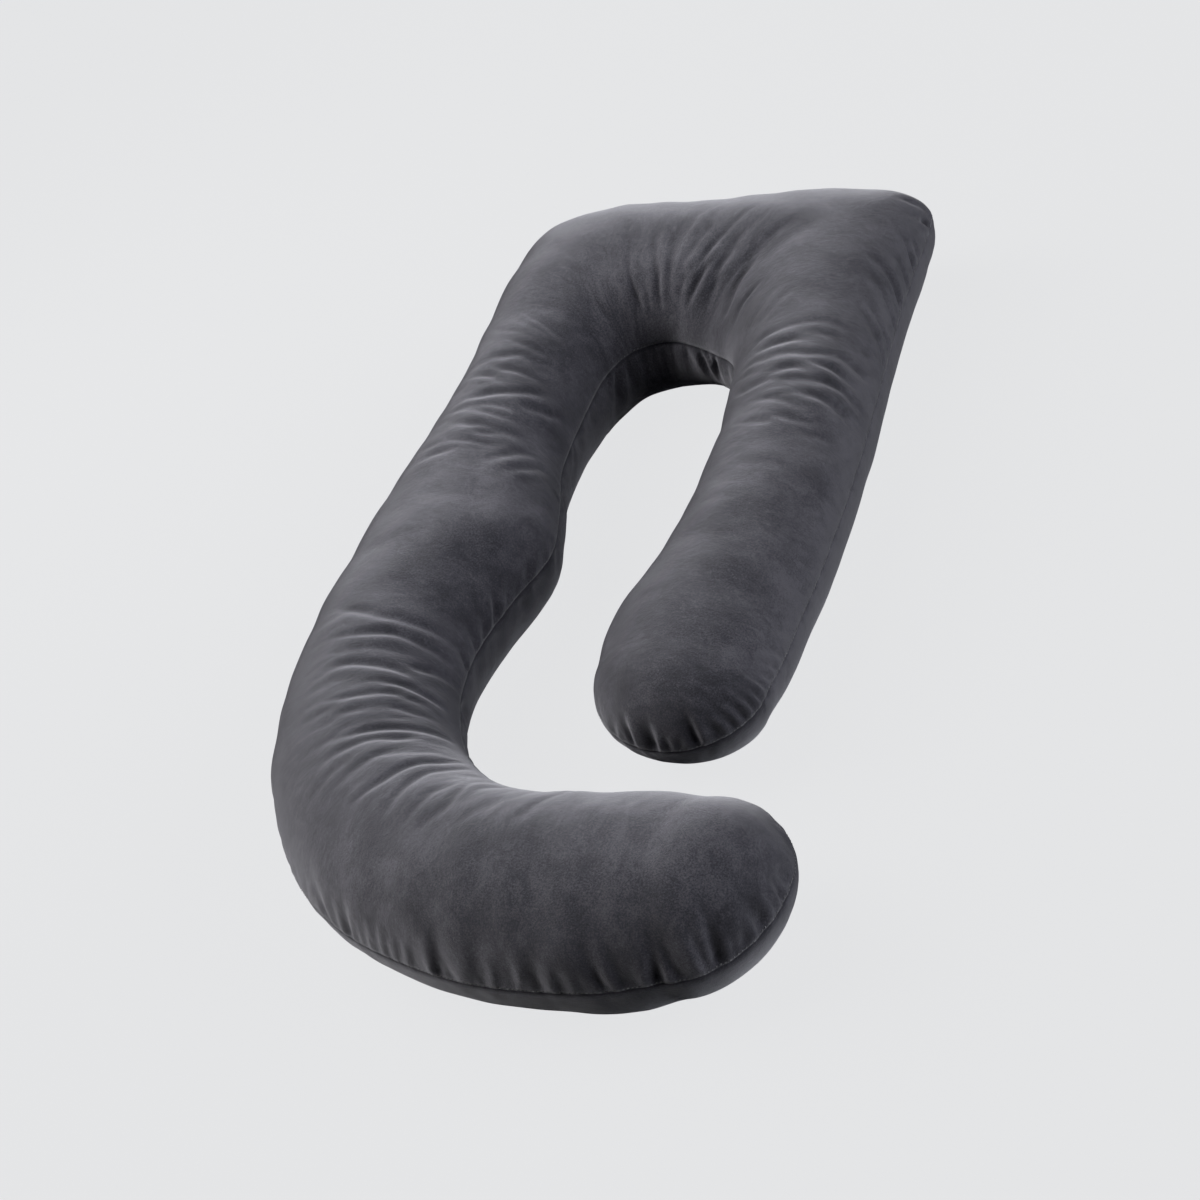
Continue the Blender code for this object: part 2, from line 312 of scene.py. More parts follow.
# %% The table of creases
Crease = namedtuple("Crease", "x0 y0 x1 y1 x2 y2 depth width")
CREASES = [Crease(*row) for row in (
    # a fan round the inner side of the head end
    (-137, 420, -159, 438, -193, 468, 2.5, 7),
    (-120, 427, -136, 448, -150, 475, 1.8, 6),
    (-98, 439, -110, 465, -132, 512, 3.6, 6),
    (-84, 442, -91, 460, -100, 482, 1.8, 4.5),
    (-69, 442, -78, 495, -93, 560, 4.3, 6),
    (-53, 455, -56, 500, -62, 545, 2.3, 6),
    (-41, 450, -36, 470, -35, 495, 1.8, 5.5),
    (-29, 442, -8, 486, 9, 545, 5.2, 6),
    (-1, 435, 20, 488, 43, 556, 4.3, 8),
    (31, 415, 51, 464, 71, 514, 6, 6),
    (53, 398, 68, 422, 90, 450, 3.2, 4.5),
    (78, 336, 98, 376, 124, 425, 2.9, 5.5),
    (102, 342, 128, 383, 155, 422, 1.8, 6),
    (-42, 536, -35, 566, -28, 602, 1.3, 6),
    (-11, 535, -10, 572, -4, 608, 1.4, 5.5),
    (-116, 510, -117, 532, -119, 556, 1.2, 6),
    # across the free arm, below the corner
    (96, 304, 124, 318, 152, 334, 5, 6),
    (126, 290, 158, 297, 192, 310, 4.5, 6),
    (106, 262, 133, 266, 165, 263, 4, 5.5),
    (136, 293, 163, 301, 198, 302, 5.5, 6),
    (110, 220, 147, 213, 174, 219, 3.5, 5.5),
    (158, 228, 196, 241, 223, 237, 7, 6),
    (200, 263, 243, 255, 272, 243, 7.5, 7),
    (236, 279, 260, 282, 277, 272, 5, 7),
    (230, 226, 258, 225, 281, 217, 7.5, 7),
    (202, 267, 218, 276, 241, 274, 3, 7),
    (220, 191, 252, 189, 279, 183, 6.5, 6.5),
    (158, 189, 196, 175, 232, 173, 3.2, 5.5),
    (190, 154, 207, 147, 224, 144, 3, 5.5),
    (136, 143, 171, 136, 206, 133, 4, 6),
    (235, 122, 253, 122, 275, 128, 3.8, 7),
    (246, 103, 263, 102, 280, 104, 4, 6),
    (198, 316, 217, 322, 234, 320, 3, 5.5),
    (143, 80, 153, 92, 168, 94, 2.5, 6),
    (196, 48, 220, 50, 245, 50, 2.2, 7),
    # from the sewn edge at the square corner
    (230, 444, 250, 419, 266, 396, 2.5, 6),
    (242, 390, 258, 373, 272, 360, 2.5, 5.5),
    (231, 652, 250, 659, 263, 670, 5, 5.5),
    # across the long arm, above the swell
    (-280, 224, -229, 236, -184, 258, 7.5, 7),
    (-202, 217, -181, 230, -166, 247, 6.5, 7),
    (-296, 198, -249, 205, -188, 205, 4.5, 6),
    (-304, 212, -272, 222, -243, 228, 3.5, 5.5),
    (-310, 281, -276, 270, -238, 281, 4.5, 6.5),
    (-290, 313, -250, 313, -202, 324, 4, 7),
    (-273, 156, -242, 164, -213, 167, 2.8, 5.5),
    (-248, 145, -219, 150, -186, 157, 4.5, 6),
    (-209, 86, -187, 114, -165, 148, 5, 6.5),
    (-184, 64, -164, 101, -149, 135, 5, 6.5),
    (-306, 101, -279, 107, -251, 110, 3.5, 6),
    (-283, 126, -243, 127, -206, 126, 2.5, 6),
    (-213, 70, -206, 79, -196, 92, 3, 4.5),
    (-160, 64, -152, 85, -143, 96, 2.5, 6),
    (-171, -25, -186, 6, -177, 50, 1.3, 3),
    (-142, 11, -136, 31, -131, 57, 2.5, 6),
    # across the long arm, below the swell
    (-322, -189, -233, -211, -150, -207, 6, 7),
    (-257, -250, -199, -237, -149, -239, 4.8, 6.5),
    (-180, -282, -158, -274, -141, -256, 4.4, 6.5),
    (-282, -250, -254, -245, -234, -239, 1.8, 5.5),
    (-275, -314, -218, -298, -155, -302, 6, 7),
    (-300, -346, -279, -327, -247, -319, 1.8, 6),
    (-204, -331, -158, -321, -122, -323, 5.6, 6.5),
    # round the inner side of the bend
    (-245, -378, -186, -351, -127, -338, 4.4, 6),
    (-234, -396, -205, -388, -174, -379, 2.4, 5.5),
    (-164, -366, -139, -365, -113, -357, 2.8, 5.5),
    (-197, -435, -136, -404, -87, -374, 6.4, 7),
    (-202, -480, -158, -438, -91, -409, 5.2, 6.5),
    (-140, -472, -122, -459, -102, -452, 1.8, 5.5),
    (-99, -460, -80, -436, -52, -423, 2.4, 5.5),
    (-127, -546, -88, -489, -41, -430, 6.4, 7),
    (-74, -570, -57, -503, -24, -441, 4.8, 6),
    (-34, -577, -25, -536, -3, -505, 2.6, 6),
    (6, -572, 11, -519, 15, -466, 4.4, 6),
    (-200, -526, -182, -497, -153, -477, 1.8, 6),
    (-16, -590, -2, -565, 12, -547, 1.8, 6),
    (36, -579, 50, -560, 65, -530, 1.8, 6),
)]
print(len(CREASES), "creases")

# %% [markdown]
# Between the named creases run many faint ones. They follow the tube: a band names a stretch
# of it, how far apart its folds stand, and from where to where across the tube they reach.
# Seeded chance then shifts, bends and shortens each one, and turns some into ridges.

# %% The table of faint folds
FoldBand = namedtuple("FoldBand", "from_x from_y to_x to_y pitch start end depth width")
FOLD_BANDS = [FoldBand(*row) for row in (
    (170, 335, 188, 50, 11, 0.06, 0.94, 2.3, 4.8),
    (188, 50, 175, -180, 20, 0.12, 0.85, 1, 7.5),
    (110, 550, -270, 520, 12, 0.04, 0.64, 1.7, 5),
    (-262, 420, -262, 80, 12, 0.08, 0.82, 2.5, 5),
    (-262, 80, -265, -130, 22, 0.15, 0.8, 1, 8),
    (-266, -130, -128, -505, 8, 0.04, 0.82, 1.7, 5.2),
    (-128, -505, 120, -590, 15, 0.04, 0.5, 1.8, 6),
    (120, -590, 290, -585, 26, 0.1, 0.55, 0.9, 8),
)]
print(len(FOLD_BANDS), "bands of faint folds")

# %% [markdown]
# A crease is a parabola through its three points, lifted onto the face and walked in short
# straight steps. The distance to it is worked out for all the points of the face at once, and
# how far along it a point lies gives the taper towards both ends.

# %% Press the creases in
FOLD_SEED = 7
CREASE_STEPS = 10
CREASE_STEEPNESS = 0.18  # how much narrower one wall is, and wider the other
BANK_SHARE = 0.50  # height of the banks beside a trough, as a share of its depth
BANK_WIDTH = 2.0  # how much wider the banks reach than the trough
BANK_SHIFT = 0.8  # how far the steepness moves the banks
FOLD_REACH = 3.2  # widths from a fold's line past which it presses nothing
TAPER_POWER = 0.85  # below 1 a fold keeps its depth nearer to its ends
WOBBLE = 0.0014  # sideways wander of a fold's line, in metres
WOBBLE_TURNS = (1.0, 2.2)
UNEVENNESS = 0.22  # how far the depth comes and goes along a fold
UNEVEN_TURNS, UNEVEN_PHASE = 1.3, 2.1
RIDGE_CHANCE = 0.30  # share of the faint folds that stand up instead
RIDGE_SHARE = 0.7  # height of such a fold, as a share of the depth it would have had
# what chance gives a faint fold: its shift in pitches, its share of the way across, how many
# sections its ends and middle stray, its depth and width as shares, and its steepness
FAINT_SHIFT, FAINT_REACH, FAINT_STRAY = (-0.35, 0.35), (0.25, 0.90), (4.0, 1.5, 4.0)
FAINT_DEPTH, FAINT_WIDTH, FAINT_STEEPNESS = (0.4, 1.4), (0.8, 1.3), (-0.3, 0.4)
SHARING_REACH = 0.022  # way along the edge over which crowded folds share their depth
SHARED = 0.9  # share of their mean depth that they give up
DEEPEST = 0.0046
HIGHEST = 0.0021
FOLD_SOFTENING = 4  # passes that round the hollows off
BANK_SOFTENING = 10  # and the banks, held up by the filling

face_points = form[:, seam_ring:].reshape(-1, 3)
face_normals = normals[:, seam_ring:].reshape(-1, 3)
face_relief = np.zeros(len(face_points))
folds = np.random.default_rng(FOLD_SEED)


def trough(distance, width, steepness):
    """A trough with two low banks: a narrow bell taken from a wide, low one. The wall at
    negative distance is the steep one, and the bank stands closer to it."""
    wall = width * (1.0 + steepness * np.sign(distance))
    bell = np.exp(-(distance / wall) ** 2)
    shifted = distance + BANK_SHIFT * steepness * width
    bank = np.exp(-(shifted / (BANK_WIDTH * width)) ** 2)
    return BANK_SHARE * bank - (1.0 + BANK_SHARE) * bell


def crease_line(ends_and_middle):
    """Points on the parabola through a crease's two ends and its middle, on the face."""
    start, through, end = ends_and_middle
    control = 2 * through - (start + end) / 2
    t = np.linspace(0.0, 1.0, CREASE_STEPS + 1)[:, None]
    plan = (1 - t) ** 2 * start + 2 * t * (1 - t) * control + t ** 2 * end
    gaps = ((face_points[None, :, :2] - plan[:, None]) ** 2).sum(axis=2)
    return np.column_stack([plan, face_points[gaps.argmin(axis=1), 2]])


def distance_along(points, facing, line):
    """Signed distance of each point to the line, and how far along the line it lies, 0..1."""
    nearest = np.full(len(points), 1e9)
    aside = np.zeros(len(points))
    place = np.zeros(len(points))
    steps = len(line) - 1
    for number, (a, b) in enumerate(zip(line[:-1], line[1:])):
        run = b - a
        share = np.clip((points - a) @ run / (run @ run), 0.0, 1.0)
        gap = points - a - share[:, None] * run
        length = np.linalg.norm(gap, axis=1)
        closer = length < nearest
        side = np.sign((np.cross(run, gap) * facing).sum(axis=1))
        nearest = np.where(closer, length, nearest)
        aside = np.where(closer, length * side, aside)
        place = np.where(closer, (number + share) / steps, place)
    return aside, place


def press_crease(line, depth, width, steepness):
    """Add one crease to the relief of the face: a trough that wanders a little, and is
    tapered by a sine towards both ends."""
    reach = FOLD_REACH * width
    low, high = line.min(axis=0) - reach, line.max(axis=0) + reach
    near = ((face_points > low) & (face_points < high)).all(axis=1).nonzero()[0]
    aside, place = distance_along(face_points[near], face_normals[near], line)
    turns, phase = folds.uniform(*WOBBLE_TURNS), folds.uniform(0, 2 * math.pi)
    aside = aside + WOBBLE * np.sin(2 * math.pi * turns * place + phase)
    uneven = np.sin(2 * math.pi * UNEVEN_TURNS * place + UNEVEN_PHASE * phase)
    taper = np.sin(math.pi * place) ** TAPER_POWER * (1.0 + UNEVENNESS * uneven)
    face_relief[near] += depth * taper * trough(aside, width, steepness)


def band_line(band, place):
    """One faint fold's ends and middle: across the tube at a place along it."""
    first, second = (np.linalg.norm(middle - in_plan(*end), axis=1).argmin()
                     for end in (band[0:2], band[2:4]))
    number = first + place * (second - first)
    reach = (band.end - band.start) * folds.uniform(*FAINT_REACH)
    start = band.start + folds.uniform(0.0, band.end - band.start - reach)
    shares = np.array([start, start + reach / 2, start + reach])
    numbers = np.clip(number + folds.normal(0.0, FAINT_STRAY), 0, last).astype(int)
    return inner[numbers] + shares[:, None] * (outer[numbers] - inner[numbers])


for crease in CREASES:
    line = crease_line([in_plan(*crease[k:k + 2]) for k in (0, 2, 4)])
    press_crease(line, crease.depth / MM, crease.width / MM, CREASE_STEEPNESS)
faint = 0
for band in FOLD_BANDS:
    count = round(math.dist(band[0:2], band[2:4]) / band.pitch)
    for place in (np.arange(count) + folds.uniform(*FAINT_SHIFT, count) + 0.5) / count:
        line = crease_line(band_line(band, place))
        sign = -RIDGE_SHARE if folds.random() < RIDGE_CHANCE else 1.0
        press_crease(
            line, sign * band.depth / MM * folds.uniform(*FAINT_DEPTH),
            band.width / MM * folds.uniform(*FAINT_WIDTH), folds.uniform(*FAINT_STEEPNESS))
        faint += 1
crease_relief = np.zeros(form.shape[:2])
crease_relief[:, seam_ring:] = face_relief.reshape(len(edge), -1)


def evened(relief):
    """The relief less most of its own mean over the reach along the edge, softly limited
    both ways: crowded folds share the depth, and bulge between narrow creases."""
    first = np.searchsorted(travelled, travelled - SHARING_REACH)
    past = np.searchsorted(travelled, travelled + SHARING_REACH)
    total = np.concatenate([np.zeros((1, relief.shape[1])), np.cumsum(relief, axis=0)])
    mean = (total[past] - total[first]) / (past - first)[:, None]
    centred = relief - SHARED * mean
    limit = np.where(centred > 0, HIGHEST, DEEPEST)
    return limit * np.tanh(centred / limit)


crease_relief = evened(crease_relief)
crease_relief = (softened(np.minimum(crease_relief, 0.0), FOLD_SOFTENING)
                 + softened(np.maximum(crease_relief, 0.0), BANK_SOFTENING))
deepest_fold = round(-MM * crease_relief.min(), 1)
print(faint, "faint folds; the folds press in by up to", deepest_fold, "mm")

# %% [markdown]
# ## Puckers at the sewn edge
# The thread is a little shorter than the cloth it holds, so the edge gathers into puckers
# that start at the seam and fade up the side. Faint, even gathers come from one row of a
# table for each stretch of the edge, with seeded chance for the rest. The pinches that catch
# the eye are named one by one: where they start, how far they reach, how they lean, and how
# much steeper one wall is, 0.2 where a row leaves it out.

# %% The tables of puckers
Gather = namedtuple("Gather", "from_x from_y to_x to_y pitch length depth")
FACE_GATHERS = [Gather(*row) for row in (
    # free arm: its outer side, its end, its inner side
    (290, 300, 287, -180, 15, 24, 0.5),
    (287, -180, 250, -335, 11, 38, 0.8),
    (113, -338, 250, -335, 11, 36, 1),
    (45, -200, 113, -338, 12, 34, 1.5),
    (80, 300, 45, -200, 17, 30, 1.2),
    # square corner and head end
    (290, 300, 267, 560, 14, 30, 0.4),
    (267, 640, 155, 716, 13, 46, 1.8),
    (155, 716, -215, 717, 16, 40, 1.5),
    (-215, 717, -368, 577, 13, 44, 1.9),
    # long arm's outer side, and down to the hook
    (-368, 577, -391, -205, 17, 36, 1.3),
    (-391, -205, -210, -602, 13, 44, 1.6),
    (-210, -602, 267, -710, 12, 60, 0.9),
    (267, -710, 401, -560, 10, 46, 1.3),
    (401, -560, 302, -465, 13, 46, 2.2),
    # inner side of the hook, the bend and the long arm
    (302, -465, -46, -407, 16, 40, 2.4),
    (-149, -179, -109, 0, 12, 34, 1.3),
    (-109, 0, -155, 173, 12, 36, 1.8),
)]
BACK_GATHERS = [Gather(*row) for row in (
    (287, -180, 50, -260, 18, 40, 1.2),
    (80, 300, 50, -260, 22, 50, 1.9),
    (-210, -602, 302, -465, 22, 50, 0.6),
    (-368, 577, -210, -602, 26, 56, 1.8),
    (267, 640, -368, 577, 21, 56, 2),
    (287, -180, 267, 640, 30, 40, 0.2),
    (302, -465, -149, -179, 20, 52, 2.6),
    (-149, -179, -160, 340, 22, 46, 2),
    (-160, 340, 40, 372, 15, 60, 1.4),
)]
Pinch = namedtuple("Pinch", "x y length depth width lean steepness", defaults=(0.2,))
FACE_PINCHES = [Pinch(*row) for row in (
    # free arm's end, and up its outer side
    (74, -309, 50, 2.5, 4.5, -0.3, -0.3),
    (98, -330, 44, 3, 4.5, 0, -0.3),
    (113, -338, 44, 3.5, 4.5, -0.2, -0.4),
    (124, -344, 56, 7.5, 5.2, -0.15, -0.35),
    (157, -353, 52, 7.5, 5.2, 0, -0.35),
    (178, -355, 34, 5, 4.2, 0, -0.3),
    (190, -354, 28, 4, 4, 0.2, -0.2),
    (217, -350, 62, 8.5, 4.8, 0, -0.3),
    (238, -341, 56, 4.5, 5.5, 0),
    (258, -327, 70, 5.5, 5.2, -0.25),
    (269, -315, 70, 5, 4.8, -0.2),
    (277, -300, 66, 5.5, 4.8, -0.15, 0.3),
    (282, -282, 62, 5, 4.8, -0.2),
    (283, -264, 62, 5.5, 4.6, -0.2, 0.3),
    (284, -248, 58, 4.5, 4.4, -0.3),
    (285, -230, 54, 4.5, 4.4, -0.45),
    (286, -210, 50, 3.5, 4.4, -0.55),
    (288, -174, 48, 3, 4.2, -0.5),
    (289, -156, 46, 2.5, 4.2, -0.45),
    # hook, from the bend along its low side
    (-167, -634, 85, 2, 7.7, -0.55, -0.2),
    (-163, -636, 66, 2.9, 6.2, -0.35, -0.3),
    (-148, -645, 71, 2.9, 6.2, 0, -0.3),
    (-129, -655, 71, 5.9, 6.9, 0, -0.3),
    (-112, -663, 52, 2.9, 6.2, 0, -0.3),
    (-101, -668, 57, 2.9, 6.2, 0.15, -0.3),
    (-81, -676, 74, 2.9, 6.2, 0.1, -0.2),
    (-65, -683, 66, 2.9, 6.2, 0.2),
    (-48, -689, 74, 2.9, 6.2, 0.25, 0.3),
    (-26, -696, 68, 2.9, 6.2, 0.3),
    (-13, -700, 52, 2, 5.4, 0.3),
    (14, -707, 83, 4.9, 7.7, 0.1, 0.3),
    (30, -710, 62, 2.9, 6.2, 0.2),
    (61, -715, 62, 2.9, 6.2, 0.25),
    (69, -716, 45, 2.9, 5.4, 0.35, 0.3),
    (93, -718, 62, 2.9, 6.9, 0.2),
    (109, -719, 62, 2.9, 6.2, 0.2),
    (125, -720, 68, 2.9, 6.2, 0.35),
    (140, -721, 57, 2.9, 6.2, 0.2),
    (171, -722, 68, 2.9, 6.9, 0.2),
    (195, -722, 80, 2.9, 6.9, 0.1),
    (211, -721, 71, 2.9, 6.2, 0),
    (225, -719, 80, 4.9, 7.7, -0.2, 0.4),
    (245, -715, 83, 5.9, 7.7, -0.1, 0.4),
    (257, -713, 57, 2.9, 6.9, 0.1),
    (281, -706, 85, 6.8, 7.7, 0.1, 0.3),
    # round the hook's end
    (306, -702, 77, 6.5, 6.6, -0.1, 0.4),
    (337, -687, 82, 6.5, 6.6, -0.1, 0.4),
    (345, -681, 89, 9.4, 7.3, 0.15, 0.5),
    (361, -667, 58, 5.8, 5.9, 0.25, 0.3),
    (368, -659, 51, 5.8, 6.6, 0.45, 0.3),
    (383, -637, 68, 8, 7.3, 0.1, 0.4),
    (388, -627, 34, 2.9, 5.3, 0),
    (396, -607, 48, 5.1, 6.6, 0, 0.3),
    (399, -591, 46, 8.7, 7.3, 0.2, 0.5),
    (401, -570, 36, 7.2, 6.6, 0, 0.4),
    # the square corner's tuck, and its neighbours down to the free arm
    (262, 668, 18, 7, 3.4, 0),
    (266, 646, 32, 14, 4.6, 0, 0.4),
    (267, 622, 16, 4, 3, 0.3, 0),
    (268, 577, 38, 5, 3.6, 0.45, -0.3),
    (267, 548, 62, 7, 3.8, 0.9, -0.3),
    (267, 506, 62, 4.5, 3.8, 0.8, -0.3),
    (269, 465, 98, 8, 5.2, 0.82, -0.4),
    (270, 441, 78, 4, 4, 0.92, -0.3),
    (271, 417, 105, 5, 4.6, 1.05, -0.3),
    (274, 367, 82, 4, 4.5, 0.88, -0.3),
    (277, 327, 105, 3.5, 5, 1.2, -0.2),
    (282, 261, 34, 2.5, 5, 0.1, -0.2),
    # inner side of the long arm's swell
    (-109, 6, 16, 3, 4, 0.8, -0.3),
    (-111, -17, 20, 4.5, 4, 0.8, -0.3),
    (-120, -48, 34, 7, 4.5, 0.6, -0.4),
    (-130, -78, 32, 2.5, 4, 0.5, 0),
    (-136, -101, 38, 4, 4.5, 0.8, 0),
    (-143, -133, 62, 7, 6, 0.85, 0.3),
    (-147, -159, 42, 4, 5, 0.85, 0),
    (-149, -182, 56, 3.5, 5, 0.5, -0.2),
    (-147, -218, 46, 4, 5, 0.4, -0.2),
)]
BACK_PINCHES = [Pinch(*row) for row in (
    # under the inner side of the head end
    (-153, 374, 45, 3, 6.6, -0.45, 0),
    (-145, 391, 66, 5.5, 6.6, -0.6, 0.4),
    (-130, 410, 84, 4.5, 7.2, -0.35),
    (-110, 423, 80, 5.5, 9.4, -0.3, 0),
    (-92, 430, 68, 2, 7.7, -0.2, 0),
    (-81, 431, 84, 3, 6.6, 0, 0.3),
    (-50, 428, 44, 2.5, 5.5, 0.6, 0.3),
    (-24, 418, 56, 5, 5.5, 0.6, 0.5),
    (-10, 412, 44, 5, 5, 0.7, 0.4),
    (5, 403, 56, 4, 5, 0, 0.4),
    # under the long arm's inner side
    (-161, 239, 34, 4, 6, -0.8),
    (-143, 133, 20, 3.5, 6, 0),
    (-110, 19, 28, 4, 5, -0.5),
    (-120, -48, 42, 3, 6, 0.55),
    (-146, -148, 48, 3, 8, 0.4),
    (-138, -269, 42, 3, 8, 0.5, 0),
)]
gathered = len(FACE_GATHERS) + len(BACK_GATHERS)
named = len(FACE_PINCHES) + len(BACK_PINCHES)
print(gathered, "gathered stretches and", named, "named pinches")

# %% [markdown]
# A pucker is a trough that follows the cross-section up from the seam. Its width is measured
# along the edge, so it narrows where the rings of the grid close up round an end.

# %% Press the puckers in
PUCKER_SEED = 21
PUCKER_WIDTH = 0.34  # half-width of a gather's pucker, as a share of the pitch
PUCKER_SPREAD = 1.2  # how much wider a pucker is where it ends
SEAM_HOLD = 0.14  # share of its depth that a pucker has at the seam itself
SEAM_EASE = 0.013  # way up from the seam over which a pucker reaches its full depth
PUCKER_REACH = 7  # widths from its middle past which a pucker presses nothing
FADE_LATE, FADE_SOFT = 1.8, 1.3  # how late a pucker starts to fade, and how softly it ends
# what chance gives a gather's pucker: its shift in pitches, its depth, length and width as
# shares of the row's, its lean and its steepness
SHIFTS, DEPTHS, LENGTHS = (-0.38, 0.38), (0.25, 1.45), (0.5, 1.4)
WIDTHS, LEANS, STEEPNESSES = (0.8, 1.4), (-0.3, 0.35), (-0.3, 0.3)
LEAST_STRETCH, MOST_STRETCH = 0.15, 3.0
strides = np.linalg.norm(np.roll(form, -1, axis=0)[..., :2] - form[..., :2], axis=2)
stretch = np.clip(strides / edge_steps[:, None], LEAST_STRETCH, MOST_STRETCH)
chance = np.random.default_rng(PUCKER_SEED)


def place_on_edge(x, y):
    """Distance round the edge of its place nearest to a point of the tables' plan."""
    gap = edge - in_plan(x, y)
    return travelled[np.argmin((gap ** 2).sum(axis=1))]


def press_pucker(half, centre, length, depth, width, lean, steepness):
    """Add one trough across the panel's edge to the relief: full a short way from the seam,
    gone at its length, its middle moved along the edge by lean for each unit of the way up."""
    ahead = (travelled - centre + seam_length / 2) % seam_length - seam_length / 2
    near = np.abs(ahead) < PUCKER_REACH * width + abs(lean) * length
    away = from_seam[near, half]
    aside = (ahead[near, None] - lean * away) * stretch[near, half]
    rise = np.clip(away / length, 0.0, 1.0)
    eased = np.sin(math.pi / 2 * np.clip(away / SEAM_EASE, 0.0, 1.0)) ** 2
    fade = (SEAM_HOLD + (1.0 - SEAM_HOLD) * eased) * (1.0 - rise ** FADE_LATE) ** FADE_SOFT
    width = width * (1.0 + PUCKER_SPREAD * rise)
    pucker_relief[near, half] += depth * fade * trough(aside, width, steepness)


def press_gather(half, gather):
    """Evenly spaced puckers along a stretch of the edge, each shifted, sized and leaning by
    chance; gives their number."""
    first, second = sorted(place_on_edge(*end) for end in (gather[0:2], gather[2:4]))
    if second - first > seam_length / 2:
        first, second = second, first + seam_length
    pitch = gather.pitch / MM
    count = max(2, round((second - first) / pitch))
    centres = first + (np.arange(count) + 0.5) * (second - first) / count
    for centre in centres + chance.uniform(*SHIFTS, count) * pitch:
        depth = gather.depth / MM * chance.uniform(*DEPTHS)
        press_pucker(
            half, centre, gather.length / MM * chance.uniform(*LENGTHS), depth,
            PUCKER_WIDTH * pitch * chance.uniform(*WIDTHS),
            chance.uniform(*LEANS), chance.uniform(*STEEPNESSES))
    return count


pucker_relief = np.zeros(form.shape[:2])
pucker_count = named
FACE_HALF, BACK_HALF = slice(seam_ring, None), slice(0, seam_ring + 1)
for half, gathers in ((FACE_HALF, FACE_GATHERS), (BACK_HALF, BACK_GATHERS)):
    pucker_count += sum(press_gather(half, gather) for gather in gathers)
for half, pinches in ((FACE_HALF, FACE_PINCHES), (BACK_HALF, BACK_PINCHES)):
    for pinch in pinches:
        press_pucker(
            half, place_on_edge(pinch.x, pinch.y), pinch.length / MM, pinch.depth / MM,
            pinch.width / MM, pinch.lean, pinch.steepness)
pucker_relief = softened(pucker_relief, 1)
print(pucker_count, "puckers")

# %% [markdown]
# ## Seam groove and lumpy filling
# The thread pulls the edge in, so both panels roll over it and leave a narrow groove. Loose
# fibre never packs evenly: a few long, low waves in all directions give the cover the small
# swells that the light shows up. They are calmer beside the seam and on the back panel, and
# nothing is pressed into the flat on which the pillow lies.

# %% Groove and filling
SEAM_DRAW_IN = 0.0026
GROOVE_WIDTH, GROOVE_SHARPNESS = 0.0030, 1.1
LUMP_SEED = 3
LUMP_HEIGHT = 0.0011
LUMP_WAVES = 34
LUMP_LENGTHS = (0.055, 0.190)
LUMP_CALM = 0.35  # share of the lumps' height at the seam and on the back panel
LUMP_EASE = 0.045  # way up the face over which they reach their full height
FLAT_FADE = 0.020  # height above the floor at which the underside's relief is whole
groove_relief = -SEAM_DRAW_IN * np.exp(-(from_seam / GROOVE_WIDTH) ** GROOVE_SHARPNESS)

lumps = np.random.default_rng(LUMP_SEED)
lump_relief = np.zeros(form.shape[:2])
for wave in range(LUMP_WAVES):
    heading = lumps.normal(size=3)
    heading /= np.linalg.norm(heading)
    wavelength = lumps.uniform(*LUMP_LENGTHS)
    phase = lumps.uniform(0, 2 * math.pi)
    lump_relief += np.sin(form @ heading * (2 * math.pi / wavelength) + phase)
lump_share = LUMP_CALM + (1 - LUMP_CALM) * on_face * np.clip(from_seam / LUMP_EASE, 0.0, 1.0)
lump_relief *= LUMP_HEIGHT * math.sqrt(2 / LUMP_WAVES) * lump_share

settled = np.clip(form[..., 2] / FLAT_FADE, 0.0, 1.0)
above_floor = np.where(on_face[None, :], 1.0, settled)
relief = (crease_relief + pucker_relief + groove_relief + lump_relief) * above_floor
cover_points = form + normals * relief[..., None]
cover_points[..., 2] = np.maximum(cover_points[..., 2], 0.0)
print("relief from", round(MM * relief.min(), 1), "to", round(MM * relief.max(), 1), "mm")

# %% [markdown]
# ## Painted light and shade in the pile's colour
# Velvet's pile leans one way. Light and shade are painted into its colour: a wall of a fold
# that faces the painted light's heading is painted lighter, the other wall darker, and a
# hollow gets painted shade. Strokes of the hand leave lighter and darker places, which a short
# table gives together with painted light and shade; the upright outer sides get painted light,
# and the seam's groove is shaded dark. Painting this by hand is slow, so it is worked out from
# the folds and the table, and kept as a value on every point, which the material reads.

# %% Lightness of the pile at every point
# Light and shade painted into the velvet's colour: fold walls that face this heading are painted
# lighter, the others darker, and hollows get painted shade.
PAINTED_LIGHT_HEADING = np.array([-0.30, 0.80, 0.52])
WALL_GAIN = 0.62  # how much a wall's facing towards the painted light's heading counts
HOLLOW_SHADE_GAIN = 0.42  # how much depth counts in the painted shade of a hollow, for each HOLLOW_DEPTH
HOLLOW_DEPTH = 0.004
PILE_SWING = 0.27  # how far the painted light and shade of the folds move the lightness from a half
SEAM_SHADE = 1.6
SEAM_SHADE_WIDTH = 0.0021
SIDE_PAINTED_LIGHT = 0.32  # painted light on the tube's outer, upright sides: how much lighter they are painted
SIDE_SOFTENING = 20  # passes that blend this painted light in
BRUSHING_AND_PAINTED_LIGHT = [Spot(*row) for row in (
    # where the pile is painted darker: stroked pile and painted shade
    (-150, -400, 180, -0.17),
    (-230, -250, 130, -0.06),
    (200, 400, 200, -0.13),
    (200, 170, 140, -0.09),
    (-220, 290, 140, -0.05),
    (100, -320, 80, -0.12),
    (210, 610, 120, -0.08),
    # and where it is painted lighter: stroked pile and painted light
    (-160, -10, 150, 0.14),
    (-90, 470, 140, 0.13),
    (-260, 570, 110, 0.06),
    (10, 630, 120, 0.06),
    (310, -570, 170, 0.15),
    (150, -600, 130, 0.05),
)]


